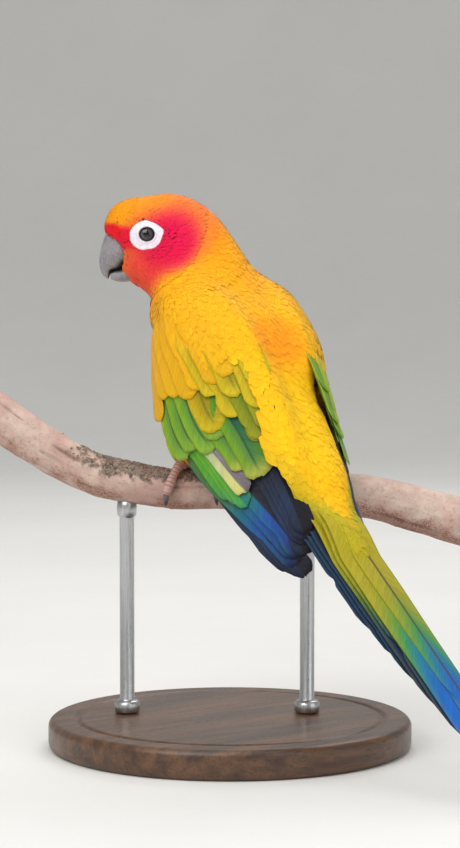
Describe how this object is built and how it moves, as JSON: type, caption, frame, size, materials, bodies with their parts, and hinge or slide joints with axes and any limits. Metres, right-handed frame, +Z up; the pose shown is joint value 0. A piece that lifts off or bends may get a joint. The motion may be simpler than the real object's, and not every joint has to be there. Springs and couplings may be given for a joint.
{
  "type": "perched conure model",
  "caption": "Life-size model of a small long-tailed parrot gripping a cut length of branch, held by two rods on a round base.",
  "frame": {"origin": "centre of the underside of the round stand base, on the floor", "axes": "+Z up, +Y the way the bird's body faces, +X to the bird's right"},
  "size_m": [0.1778, 0.2341, 0.2255],
  "materials": {
    "plumage_yellow": "feathers, soft",
    "plumage_orange": "feathers, soft",
    "plumage_olive": "feathers, soft",
    "horn": "satin",
    "eye": "clear and wet",
    "foot_skin": "scaly",
    "claw": "smooth",
    "bark": "rough bark",
    "base_wood": "satin",
    "rod_steel": "brushed"
  },
  "bodies": {
    "root": {"torso": "plumage_yellow", "neck": "plumage_orange", "head": "plumage_orange", "bill_upper": "horn", "bill_lower": "horn", "eye_right": "eye", "eye_left": "eye", "wing_right": "plumage_yellow", "wing_left": "plumage_yellow", "tail": "plumage_olive", "leg_right": "plumage_orange", "leg_left": "plumage_orange", "foot_right": "foot_skin", "foot_left": "foot_skin", "claw_right_1": "claw", "claw_right_2": "claw", "claw_right_3": "claw", "claw_right_4": "claw", "claw_left_1": "claw", "claw_left_2": "claw", "claw_left_3": "claw", "claw_left_4": "claw", "perch_branch": "bark", "stand_base": "base_wood", "stand_rod_right": "rod_steel", "stand_rod_left": "rod_steel"}
  },
  "joints": []
}
